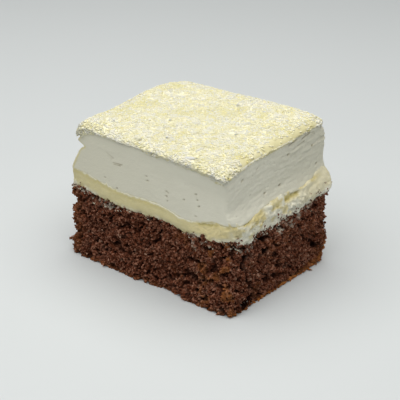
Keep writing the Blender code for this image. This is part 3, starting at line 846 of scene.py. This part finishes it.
def custard_patches(spots):
    """Where the custard film shows yellow through the coconut: bells in plan, their rims broken."""
    broken = spots + 0.004 * unevenness(spots * np.array([1.0, 1.0, 0.0]), 0.006, 191, finer=3)[..., None]
    total = 0.0
    for x, y, reach in CUSTARD_PATCHES:
        gap = np.hypot(broken[..., 0] - x, broken[..., 1] - y)
        total = total + bell(gap, 0.0, reach)
    return ramp(total, 0.25, 0.9)


def strip_ends(y):
    """Where along the right edge the bare strip runs: from 0 before its ends to 1 between them."""
    return ramp(y, -0.0225, -0.0150) * ramp(y, 0.0250, 0.0205)


def bare_strip(spots):
    """The strip of custard film along the right edge that little coconut reaches, its inner side
    uneven, from 0 to 1."""
    inner_side = 0.0010 * unevenness(spots * np.array([0.3, 1.0, 0.0]), 0.0030, 193, finer=3)
    return ramp(spots[..., 0] + inner_side, 0.0266, 0.0314) * strip_ends(spots[..., 1])


def shoulder(gap, reach, drop):
    """Rounded shoulder: from reach inside the rim the surface falls as an arc, by drop at the rim."""
    share = np.clip(1.0 - gap / reach, 0.0, 1.0)
    return drop * (1.0 - np.sqrt(1.0 - share ** 2))


def bed_level(x, y):
    """Top of the bed: a little under the topping's own top, with the finest grains as relief, and
    rounded over towards its rim, most of all along the bare strip."""
    spot = np.stack([x + 0.0 * y, y + 0.0 * x, 0.0 * (x + y)], axis=-1)
    grains = 0.00010 * unevenness(spot, 0.0008, 173, finer=2) * (1.0 - 0.8 * bare_strip(spot))
    bare = strip_ends(y) * ramp(x, 0.0, 0.010)
    fallen = bell(np.hypot(x + LENGTH / 2, y + WIDTH / 2), 0.0, 0.005)
    sides = shoulder(LENGTH / 2 - np.abs(x), mix(RIM_REACH, STRIP_REACH, bare),
                     mix(RIM_DROP, STRIP_DROP, bare))
    ends = shoulder(WIDTH / 2 - np.abs(y), mix(RIM_REACH, CORNER_REACH, fallen),
                    mix(RIM_DROP, CORNER_FALL, fallen))
    return topping_level(x, y) - BED_DEPTH + grains - np.maximum(sides, ends)


def film_level(x, y):
    """Underside of the bed: just above the cream."""
    return cream_level(x, y) + 0.0001


def bed_foot(x, y):
    """Lower edge of the bed's wall, a little way down over the cream."""
    return cream_level(x, y) - 0.0002


u, v, share, z = wall_grid(BED_ROWS, bed_foot, bed_level)
x_flat, y_flat = u * LENGTH / 2, v * WIDTH / 2
edge_walk = np.stack([x_flat, y_flat, 0.0 * u], axis=-1)
droop = 0.0001 + 0.0007 * unevenness(edge_walk, 0.0034, 179, finer=3)
for depth, x_droop, y_droop, reach in RIM_DROOPS:
    droop = droop + depth * bell(np.hypot(x_flat - x_droop, y_flat - y_droop), 0.0, reach)
z = z - droop * (1.0 - share)
lip = TOPPING_LIP * (0.8 + 0.5 * unevenness(edge_walk, 0.0026, 180, finer=2))
lip = lip + 0.0005 * bell(np.hypot(x_flat + 0.035, y_flat + 0.025), 0.0, 0.0035)
wall = place(u, v, z, lip * (1.0 - 0.7 * share ** 2))
bed_normal = outwards(wall)
bed = wall + bed_normal * (0.00016 * unevenness(wall, 0.0010, 181, finer=2))[..., None]
bed_rows = closed(bed, film_level, bed_level, above=np.linspace(0.995, 0.02, BED_RINGS))
flat_spots = bed_rows.copy()
flat_spots[..., 2] = 0.0
yellow = 0.8 * custard_patches(flat_spots)
strip = bare_strip(flat_spots)
row = np.arange(len(bed_rows))[:, None]
rolled = ramp(row, BED_ROWS, 4) * (0.1 + 0.7 * ramp(flat_spots[..., 0], 0.012, 0.032))
strip = np.maximum(strip, np.clip(rolled, 0.0, 1.0))

bed_finish = finish(
    "custard_and_coconut_bed", roughness=0.60, shine=0.30, scales=(300.0, 2600.0), relief=0.00010,
    colour=(0.860, 0.815, 0.565), coats=(
        ("custard_film", (0.845, 0.765, 0.36), 1.0),
        ("Tone", (0.880, 0.850, 0.700), 0.4, 0.50, 0.64),
        ("bare_film", (0.64, 0.585, 0.325), 1.0)))

add_layer("coconut_bed", bed_rows, {"custard_film": yellow, "bare_film": strip},
          bed_finish, "coconut_topping")

# Loose bits. Every bit is a small closed loft of rings of four corners between two tips, bent
# and shaken so that no two are alike: shreds and grains of coconut, and crumbs of the sponge.
# Limits of the length, width and thickness of each kind, and how many the topping is strewn with.
SHRED_SIZES = ((0.0009, 0.0022), (0.0005, 0.0009), (0.00032, 0.00046))
GRAIN_SIZES = ((0.0005, 0.0013), (0.0004, 0.0009), (0.00036, 0.00054))
RIM_GRAIN_SIZES = ((0.0005, 0.0013), (0.0004, 0.0009), (0.00018, 0.00035))
SHREDS = 2200
GRAINS = 11500
GOLD_GRAINS = 7500
RIM_GRAINS = 8000
CORNER_GRAINS = 420
CORNER_HEAP = (-0.0330, -0.0260)
CORNER_HEAP_REACH = 0.0045


def bit_faces(rings):
    """Quads and tip triangles of one bit, each with its corners on the bit's own flat map."""
    quads, quad_map, tips, tip_map = [], [], [], []
    last = 4 * (rings - 1)
    for low in range(0, last, 4):
        for a in range(4):
            b, ring = (a + 1) % 4, low // 4 + 1
            quads.append((low + a, low + b, low + 4 + b, low + 4 + a))
            quad_map.append(((a, ring), (a + 1, ring), (a + 1, ring + 1), (a, ring + 1)))
    for a in range(4):
        tips.append((a, 4 * rings, (a + 1) % 4))
        tip_map.append(((a, 1), (a + 0.5, 0), (a + 1, 1)))
    for a in range(4):
        tips.append((last + a, last + (a + 1) % 4, 4 * rings + 1))
        tip_map.append(((a, rings), (a + 1, rings), (a + 0.5, rings + 1)))
    return [np.array(part) for part in (quads, quad_map, tips, tip_map)]


def scatter(name, seed, middles, facing, sizes, material, slot, bend, tilt, shake, rings=2, marks=None,
            heading=None):
    """Closed lofts at the given middles: each lies along its heading, or at a random turn about
    the direction it faces, with a random tilt and its own length, width and thickness."""
    random = np.random.default_rng(seed)
    count = len(middles)
    station = np.linspace(-1.0, 1.0, rings + 2)[1:-1]
    girth = np.sqrt(1.0 - station ** 2 * 0.75)
    angles = np.arange(4) * np.pi / 2 + np.pi / 4
    local = np.stack([np.repeat(station, 4), np.outer(girth, np.cos(angles)).ravel(),
                      np.outer(girth, np.sin(angles)).ravel()], axis=-1)
    local = np.concatenate([local, [[-1.0, 0.0, 0.0], [1.0, 0.0, 0.0]]])
    shape = local[None] + random.normal(0.0, shake, (count, len(local), 3))
    shape[..., 2] += bend * random.normal(0.0, 1.0, (count, 1)) * (shape[..., 0] ** 2 - 0.4)
    shape[..., 1] += 0.6 * bend * random.normal(0.0, 1.0, (count, 1)) * (shape[..., 0] ** 2 - 0.4)
    shape = shape * sizes[:, None, :] / 2
    facing = facing + tilt * random.normal(0.0, 1.0, (count, 3))
    facing = facing / np.linalg.norm(facing, axis=-1, keepdims=True)
    away = random.normal(0.0, 1.0, (count, 3)) if heading is None else heading
    across = np.cross(facing, away)
    across = across / np.linalg.norm(across, axis=-1, keepdims=True)
    along = np.cross(across, facing)
    points = (middles[:, None] + shape[..., :1] * along[:, None] + shape[..., 1:2] * across[:, None]
              + shape[..., 2:] * facing[:, None])
    points[..., 2] = np.maximum(points[..., 2], 0.0)
    quads, quad_map, tips, tip_map = bit_faces(rings)
    shift = (np.arange(count) * len(local))[:, None, None]
    faces = (quads + shift).reshape(-1, 4).tolist() + (tips + shift).reshape(-1, 3).tolist()
    side = int(np.ceil(np.sqrt(count)))
    cell = np.stack([np.arange(count) % side, np.arange(count) // side], axis=-1)[:, None, None]
    maps = [(cell + corners / np.array([4.0, rings + 1.0]) * 0.9 + 0.05).reshape(-1, 2) / side
            for corners in (quad_map, tip_map)]
    values = {"tint": random.random(count), **(marks or {})}
    marks = {mark: np.repeat(value, len(local)) for mark, value in values.items()}
    add_piece(name, points, faces, slot == "coconut", marks, np.concatenate(maps), material)


def random_sizes(random, count, limits):
    """Length, width and thickness of each bit, each drawn between its two limits."""
    limits = np.array(limits)
    return mix(limits[:, 0], limits[:, 1], random.random((count, 3)) ** np.array([1.6, 1.2, 1.0]))


def lifted(random, spots, facing, low, high):
    """The places moved along their directions, each by a random distance between two limits."""
    return spots + facing * random.uniform(low, high, (len(spots), 1))


def wall_places(random, first_row, end_row, count):
    """Random rows and columns of a wall."""
    return random.integers(first_row, end_row, count), random.integers(0, COLUMNS, count)


def off_the_strip(spots):
    """The bare strip stays clear of most of the coconut."""
    return 1.0 - 0.90 * bare_strip(spots)


def on_topping(random, count, on_white, on_patches):
    """Random places on the topping and their directions, thinned out by the share that stays on
    the white coconut and the share that stays on the patches of custard."""
    u = random.uniform(-1.0, 1.0, 3 * count)
    v = random.uniform(-1.0, 1.0, 3 * count)
    spots = place(u, v, bed_level(u * LENGTH / 2, v * WIDTH / 2), 0.0003)
    density = off_the_strip(spots) * mix(on_white, on_patches, custard_patches(spots))
    kept = np.flatnonzero(random.random(3 * count) < density)[:count]
    rim = np.stack([u ** 15, v ** 15, np.ones(len(u))], axis=-1)[kept]
    return spots[kept], rim / np.linalg.norm(rim, axis=-1, keepdims=True)


coconut_white = finish(
    "coconut_shred_white", roughness=0.70, shine=0.12, scales=(300.0, 3200.0), relief=0.00003,
    colour=(0.828, 0.786, 0.564), coats=(
        ("tint", (0.833, 0.800, 0.639), 1.0, 0.0, 1.0),
        ("tint", (0.60, 0.61, 0.60), 0.9, 0.988, 0.997),
        ("Tone", (0.823, 0.758, 0.432), 0.5, 0.50, 0.36),
        ("Tone", (0.819, 0.795, 0.705), 0.35, 0.52, 0.66)), blue_reach=0.7)
coconut_gold = finish(
    "coconut_grain_custard", roughness=0.70, shine=0.12, scales=(300.0, 3200.0), relief=0.00003,
    colour=(0.819, 0.740, 0.348), coats=(
        ("tint", (0.823, 0.763, 0.442), 1.0, 0.0, 1.0),
        ("Tone", (0.823, 0.791, 0.592), 0.4, 0.50, 0.64)), blue_reach=0.6)

# Each kind on the topping: its name and seed, how many, the shares that stay on the white coconut
# and on the patches of custard, the limits of its lift and its size, its rings and its material.
random = np.random.default_rng(5)
for name, seed, count, on_white, on_patches, low, high, limits, rings, material in (
        ("coconut_shreds", 6, SHREDS, 1.0, 0.4, 0.0, 0.00012, SHRED_SIZES, 3, coconut_white),
        ("coconut_grains", 7, GRAINS, 1.0, 1.0, -0.00010, 0.00004, GRAIN_SIZES, 2, coconut_white),
        ("coconut_gold_grains", 8, GOLD_GRAINS, 0.12, 1.0, -0.00010, 0.00006, GRAIN_SIZES, 2, coconut_gold)):
    spots, facing = on_topping(random, count, on_white, on_patches)
    spots = lifted(random, spots, facing, low, high)
    scatter(name, seed, spots, facing, random_sizes(random, len(spots), limits), material, "coconut",
            bend=0.06, tilt=0.02, shake=0.06, rings=rings)

# A few broad chips of the coconut flesh lie among the grains, each given as its place in plan,
# its length, width and thickness, its turn in plan, its lean to the front, and its tint.
COCONUT_CHIPS = np.array((
    (0.0167, -0.0242, 0.0053, 0.0018, 0.0006, 0.32, 0.2, 0.9955),
    (-0.0058, -0.0232, 0.0028, 0.0021, 0.0006, 0.20, 0.6, 1.0),
    (-0.0218, -0.0176, 0.0012, 0.0009, 0.0006, -0.46, 0.3, 0.997),
    (-0.0215, -0.0242, 0.0013, 0.0010, 0.0005, 1.28, 0.3, 0.997),
    (-0.0070, -0.0064, 0.0012, 0.0009, 0.0005, 1.03, 0.3, 0.996),
    (0.0013, -0.0175, 0.0012, 0.0009, 0.0005, 0.20, 0.3, 0.996),
    (0.0035, 0.0166, 0.0013, 0.0009, 0.0005, 0.38, 0.3, 0.996),
    (0.0177, -0.0027, 0.0012, 0.0008, 0.0005, 1.37, 0.3, 0.996)))
x, y, length, width, thickness, turn, lean, tint = COCONUT_CHIPS.T
level = bed_level(x, y) + thickness / 2 + 0.0003
scatter("coconut_chips", 16, np.stack([x, y, level], axis=-1),
        np.stack([0.0 * x, -lean, 1.0 + 0.0 * x], axis=-1), COCONUT_CHIPS[:, 2:5], coconut_white, "coconut",
        bend=0.10, tilt=0.05, shake=0.08, rings=3, marks={"tint": tint},
        heading=np.stack([np.cos(turn), np.sin(turn), 0.0 * x], axis=-1))

# Grains that lie against the rim and hang over it a little, fewest along the bare strip, and a
# heap of them fallen over the front left corner.
rows, columns = wall_places(random, 2, BED_ROWS, RIM_GRAINS)
density = (0.35 + 0.65 * rows / BED_ROWS) * (off_the_strip(bed[rows, columns]) - 0.06)
kept = random.random(RIM_GRAINS) < density
from_heap = np.linalg.norm(bed[..., :2] - np.array(CORNER_HEAP), axis=-1)
corner_rows, corner_columns = np.nonzero(from_heap < CORNER_HEAP_REACH)
picked = random.integers(0, len(corner_rows), CORNER_GRAINS)
rows = np.append(rows[kept], corner_rows[picked])
columns = np.append(columns[kept], corner_columns[picked])
facing = bed_normal[rows, columns] + np.array([0.0, 0.0, 0.9])
facing[-CORNER_GRAINS:, 2] += 1.6
facing = facing / np.linalg.norm(facing, axis=-1, keepdims=True)
spots = lifted(random, bed[rows, columns], facing, -0.0001, 0.0002)
scatter("coconut_rim_grains", 12, spots, facing, random_sizes(random, len(spots), RIM_GRAIN_SIZES),
        coconut_white, "coconut", bend=0.15, tilt=0.25, shake=0.13)

# Crumbs of the sponge, half pulled out of its sides by the knife and still stuck to them. Limits
# of the length, width and thickness of each kind of bit on the cut sides, and how many there are.
CRUMB_SIZES = ((0.00050, 0.0015), (0.0004, 0.0010), (0.0004, 0.0010))
FINE_CRUMB_SIZES = ((0.00030, 0.0008), (0.00025, 0.0005), (0.00025, 0.0005))
DARK_PATCH_SIZES = ((0.0003, 0.0009), (0.0003, 0.0007), (0.0003, 0.0006))
SPECK_SIZES = ((0.0003, 0.0016), (0.00015, 0.0004), (0.00010, 0.0002))
CUSTARD_CRUMB_SIZES = ((0.0003, 0.0013), (0.00025, 0.0007), (0.0002, 0.0006))
FLAKE_SIZES = ((0.0008, 0.0022), (0.0005, 0.0011), (0.00015, 0.0003))
LONG_FLAKE = (0.0036, 0.0012, 0.0004)
CRUMBS = 12000
DARK_PATCH_CRUMBS = 170
CREAM_SPECKS = 30000
CUSTARD_CRUMBS = 5000
PEAK_CRUMBS = 45
FLAKES = 71

for name, seed, limits, lift in (("sponge_crumbs", 9, CRUMB_SIZES, 0.00032),
                                 ("sponge_fine_crumbs", 10, FINE_CRUMB_SIZES, 0.00018)):
    rows, columns = wall_places(random, 1, SPONGE_ROWS, CRUMBS)
    kept = random.random(CRUMBS) > 0.97 * ramp(opened[rows, columns], 0.0001, 0.0006)
    rows, columns = rows[kept], columns[kept]
    facing = crumb_normal[rows, columns]
    spots = lifted(random, crumb[rows, columns], facing * lift, -0.6, 1.0)
    sizes = random_sizes(random, len(rows), limits)
    marks = {"cream_smear_and_glint": 0.6 * smeared[rows, columns] * (random.random(len(rows)) < 0.5),
             "skin_and_painted_light": skin_with_highlight[rows, columns]}
    scatter(name, seed, spots, facing, sizes, sponge_brown, "sponge", bend=0.2, tilt=0.7, shake=0.28,
            marks=marks)

# Black bits of crumb strewn over the dark patch at the foot of the right end.
dark_patch_rows, dark_patch_columns = np.nonzero(dark_foot_patch > 0.5)
picked = random.integers(0, len(dark_patch_rows), DARK_PATCH_CRUMBS)
rows, columns = dark_patch_rows[picked], dark_patch_columns[picked]
facing = crumb_normal[rows, columns]
spots = lifted(random, crumb[rows, columns], facing, 0.0, 0.0005)
sizes = random_sizes(random, DARK_PATCH_CRUMBS, DARK_PATCH_SIZES)
# Painted glints: about one in eight of these dark crumbs is coloured pale like cream.
marks = {"cream_smear_and_glint": 0.7 * (random.random(DARK_PATCH_CRUMBS) < 0.12), "hole_shade_and_dark_patch": np.ones(DARK_PATCH_CRUMBS)}
scatter("dark_patch_crumbs", 17, spots, facing, sizes, sponge_brown, "sponge", bend=0.2, tilt=0.7, shake=0.28,
        marks=marks)

# Specks and streaks of cream left on the crumb below the filling, most of them lying along it.
rows, columns = wall_places(random, SPONGE_ROWS // 2, SPONGE_ROWS, CREAM_SPECKS)
reached = ramp(smear_reach[rows, columns] * 1.25 - edge_depth[rows, columns], -0.0012, 0.0006)
kept = random.random(CREAM_SPECKS) < 0.14 * reached * ramp(patchy[rows, columns], -0.3, 0.6)
rows, columns = rows[kept], columns[kept]
facing = crumb_normal[rows, columns]
spots = lifted(random, crumb[rows, columns], facing, -0.00005, 0.00015)
heading = np.stack([-facing[:, 1], facing[:, 0], -0.2 + 0.0 * facing[:, 0]], axis=-1)
heading = heading + 0.5 * random.normal(0.0, 1.0, heading.shape)
sizes = random_sizes(random, len(rows), SPECK_SIZES)
marks = {"paleness": random.uniform(0.6, 1.0, len(rows)), "fresh_cut": np.ones(len(rows))}
scatter("cream_specks", 13, spots, facing, sizes, custard_yellow, "cream", bend=0.3, tilt=0.3, shake=0.25,
        marks=marks, heading=heading)

# Brown crumbs that the knife dragged up on to the foot of the custard, most on the right end, and
# in peaks beside the front right corner, each given as its place in plan, its top and its reach.
CRUMB_PEAKS = ((0.0232, -0.0260, 0.0262, 0.0013), (0.0341, -0.0226, 0.0262, 0.0014),
               (0.0357, -0.0132, 0.0258, 0.0012))
rows, columns = wall_places(random, 0, CUSTARD_ROWS // 2, CUSTARD_CRUMBS)
density = 0.75 * np.exp(-rows / mix(1.6, 4.0, right_part[0, columns]))
density = density * ramp(unevenness(custard_wall[rows, columns], 0.0022, 197), -0.4, 0.5)
kept = random.random(CUSTARD_CRUMBS) < density
rows, columns = rows[kept], columns[kept]
for x_peak, y_peak, top, reach in CRUMB_PEAKS:
    width = reach * np.clip((top - custard[..., 2]) / 0.0018, 0.0, 1.0)
    inside = np.hypot(custard[..., 0] - x_peak, custard[..., 1] - y_peak) < width
    peak_rows, peak_columns = np.nonzero(inside)
    picked = random.integers(0, len(peak_rows), PEAK_CRUMBS)
    rows, columns = np.append(rows, peak_rows[picked]), np.append(columns, peak_columns[picked])
facing = custard_normal[rows, columns]
spots = lifted(random, custard[rows, columns], facing, 0.0, 0.0002)
scatter("custard_crumbs", 14, spots, facing, random_sizes(random, len(rows), CUSTARD_CRUMB_SIZES),
        sponge_brown, "sponge", bend=0.2, tilt=0.6, shake=0.28)

# Flakes of the baked skin along the foot of the right end. The last is longer and sticks out.
y = np.append(random.uniform(-0.015, 0.024, FLAKES - 1), 0.0150)
z = np.append(random.uniform(0.0002, 0.0012, FLAKES - 1), 0.0004)
spots = np.stack([right_face(y, z) + random.uniform(-0.0001, 0.0005, FLAKES), y, z], axis=-1)
sizes = random_sizes(random, FLAKES, FLAKE_SIZES)
facing = np.tile([0.8, 0.0, 0.6], (FLAKES, 1))
heading = np.tile([0.1, 1.0, 0.0], (FLAKES, 1)) + 0.3 * random.normal(0.0, 1.0, (FLAKES, 3))
sizes[-1], facing[-1], heading[-1] = LONG_FLAKE, (0.0, 0.1, 1.0), (1.0, 0.35, 0.0)
spots[-1, 0] += 0.0004
scatter("foot_flakes", 15, spots, facing, sizes, sponge_brown, "sponge", bend=0.2, tilt=0.2, shake=0.15,
        rings=3, marks={"skin_and_painted_light": np.ones(FLAKES)}, heading=heading)

# ---------------------------------------------------------------------------------------------
# Table, light and camera. A pale matt table, one broad soft lamp overhead and a little to the
# left of the camera, and a long lens looking down at the front right corner.
CAMERA_TURN = np.radians(39.62)
CAMERA_RISE = np.radians(25.58)
CAMERA_AWAY = 0.37966
CAMERA_SHIFT = 0.000418
CAMERA_AIM = 0.02098

table_mesh = bpy.data.meshes.new("table")
table_corners = [(-3.0, -3.0, 0.0), (3.0, -3.0, 0.0), (3.0, 3.0, 0.0), (-3.0, 3.0, 0.0)]
table_mesh.from_pydata(table_corners, [], [(0, 1, 2, 3)])
table = bpy.data.objects.new("table", table_mesh)
bpy.context.scene.collection.objects.link(table)
table_mesh.materials.append(finish(
    "table_matt", roughness=0.75, shine=0.2, scales=(3.0, 40.0), relief=0.0,
    colour=(0.600, 0.622, 0.614), coats=(
        ("Tone", (0.610, 0.632, 0.624), 1.0),)))

lamp_data = bpy.data.lights.new("overhead_lamp", "AREA")
lamp_data.shape = "DISK"
lamp_data.size = 1.1
lamp_data.energy = 7.6
lamp = bpy.data.objects.new("overhead_lamp", lamp_data)
lamp.location = (0.0, -0.08, 0.60)
lamp.rotation_euler = (0.08, 0.0, 0.0)
bpy.context.scene.collection.objects.link(lamp)

world = bpy.data.worlds.new("studio")
world.use_nodes = True
backdrop = world.node_tree.nodes["Background"]
backdrop.inputs["Color"].default_value = (0.95, 0.97, 1.0, 1.0)
backdrop.inputs["Strength"].default_value = 0.05
bpy.context.scene.world = world
bpy.context.scene.view_settings.view_transform = "Standard"

back = np.array([np.sin(CAMERA_TURN) * np.cos(CAMERA_RISE), -np.cos(CAMERA_TURN) * np.cos(CAMERA_RISE),
                 np.sin(CAMERA_RISE)])
right = np.cross(-back, [0.0, 0.0, 1.0])
right = right / np.linalg.norm(right)
camera_data = bpy.data.cameras.new("camera")
camera_data.lens = 100.0
camera_data.sensor_width = 36.0
camera_data.clip_start = 0.01
camera = bpy.data.objects.new("camera", camera_data)
camera.location = back * CAMERA_AWAY + right * CAMERA_SHIFT + np.array([*SLICE_MIDDLE, CAMERA_AIM])
camera.rotation_euler = (np.pi / 2 - CAMERA_RISE, 0.0, CAMERA_TURN)
bpy.context.scene.collection.objects.link(camera)
bpy.context.scene.camera = camera
